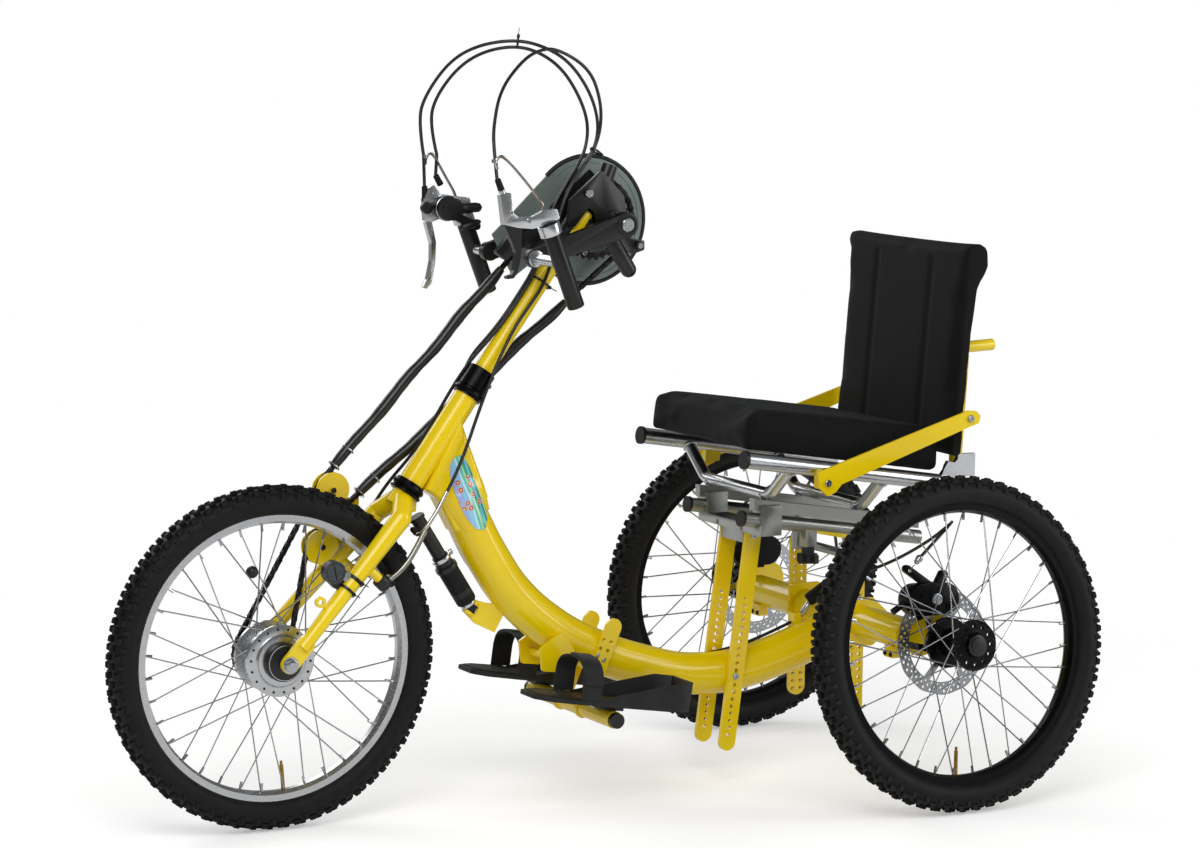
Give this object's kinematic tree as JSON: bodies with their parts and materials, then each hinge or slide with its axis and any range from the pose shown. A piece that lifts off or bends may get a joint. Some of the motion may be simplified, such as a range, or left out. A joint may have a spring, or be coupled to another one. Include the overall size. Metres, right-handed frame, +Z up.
{
  "type": "hand-cranked three-wheel cycle",
  "caption": "Upright front-wheel-drive handbike with a curved single-tube frame, cambered rear wheels, hand cranks on a steering post, a padded seat and strapped footrests.",
  "frame": {"origin": "on the ground, midway between the front and rear wheel contact points", "axes": "+X forward, +Y to the rider's left, +Z up"},
  "size_m": [1.478, 0.7366, 1.1407],
  "materials": {
    "yellow": "gloss yellow enamel",
    "black_metal": "satin black",
    "alloy": "polished",
    "steel": "zinc plated",
    "tyre": "moulded",
    "plastic": "fine grain",
    "guard": "grey moulded",
    "foam": "dense foam",
    "cloth": "woven black cover",
    "silver": "satin silver"
  },
  "bodies": {
    "frame": {"main_frame": "yellow", "headset_cups": "black_metal", "axle_carriers": "black_metal", "brake_calipers": "black_metal", "front_bars": "yellow", "rear_bars": "yellow", "seat_carriers": "alloy", "seat_slide": "alloy", "slide_knob": "plastic", "end_caps": "plastic", "seat_cushion": "cloth", "backrest_pad": "cloth", "backrest_frame": "yellow", "seat_frame": "alloy", "seat_arms": "yellow", "footrest_frame": "yellow", "foot_plates": "plastic", "foot_straps": "cloth", "brake_cables": "plastic"},
    "fork": {"fork": "yellow", "steering_post": "yellow", "post_collar": "black_metal", "front_axle": "steel", "crank_bracket": "black_metal", "chain_guard": "guard", "chain_idlers": "yellow", "chain": "black_metal", "chain_sleeves": "plastic", "rim_brake": "steel", "wheel_sensor": "plastic", "control_cables": "plastic"},
    "front_wheel": {"front_tyre": "tyre", "front_rim": "alloy", "front_spokes": "steel", "front_hub": "silver", "sprocket": "steel"},
    "rear_wheel_left": {"tyre_left": "tyre", "rim_left": "black_metal", "spokes_left": "steel", "hub_left": "black_metal", "rotor_left": "steel"},
    "rear_wheel_right": {"tyre_right": "tyre", "rim_right": "black_metal", "spokes_right": "steel", "hub_right": "black_metal", "rotor_right": "steel"},
    "crank": {"crank_set": "black_metal", "grip_pins": "steel", "chainring": "black_metal"},
    "left_handle": {"grip_left": "foam", "lever_body_left": "alloy", "lever_blade_left": "plastic"},
    "right_handle": {"grip_right": "foam", "lever_body_right": "alloy", "lever_blade_right": "alloy", "shifter": "plastic"},
    "centring_spring": {"centring_strut": "black_metal"}
  },
  "joints": [
    {"name": "steering", "type": "hinge", "parent": "frame", "child": "fork", "pos_m": [0.272, 0, 0.489], "axis": [-0.5835, 0, 0.8121], "range_deg": [-30, 30], "stiffness_Nm_per_rad": 12, "deforming": ["control_cables"]},
    {"name": "front_wheel_spin", "type": "hinge", "parent": "fork", "child": "front_wheel", "pos_m": [0.487, 0, 0.252], "axis": [0, 1, 0], "continuous": true},
    {"name": "rear_left_spin", "type": "hinge", "parent": "frame", "child": "rear_wheel_left", "pos_m": [-0.487, 0.3157, 0.25071], "axis": [0, 0.9943, 0.1063], "continuous": true},
    {"name": "rear_right_spin", "type": "hinge", "parent": "frame", "child": "rear_wheel_right", "pos_m": [-0.487, -0.3157, 0.25071], "axis": [0, 0.9943, -0.1063], "continuous": true},
    {"name": "crank_spin", "type": "hinge", "parent": "fork", "child": "crank", "pos_m": [-0.052, 0, 0.869], "axis": [0, 1, 0], "continuous": true, "deforming": ["control_cables"]},
    {"name": "left_handle_spin", "type": "hinge", "parent": "crank", "child": "left_handle", "pos_m": [0.0991, 0.143, 0.82281], "axis": [0, 1, 0], "continuous": true},
    {"name": "right_handle_spin", "type": "hinge", "parent": "crank", "child": "right_handle", "pos_m": [0.0991, -0.143, 0.82281], "axis": [0, 1, 0], "continuous": true},
    {"name": "strut_swing", "type": "hinge", "parent": "frame", "child": "centring_spring", "pos_m": [0.17, 0, 0.302], "axis": [-0.5835, 0, 0.8121], "range_deg": [-10, 10]}
  ],
  "couplings": [
    {"joint": "left_handle_spin", "follows": "crank_spin", "ratio": -1},
    {"joint": "right_handle_spin", "follows": "crank_spin", "ratio": -1},
    {"joint": "strut_swing", "follows": "steering", "ratio": -0.13}
  ]
}
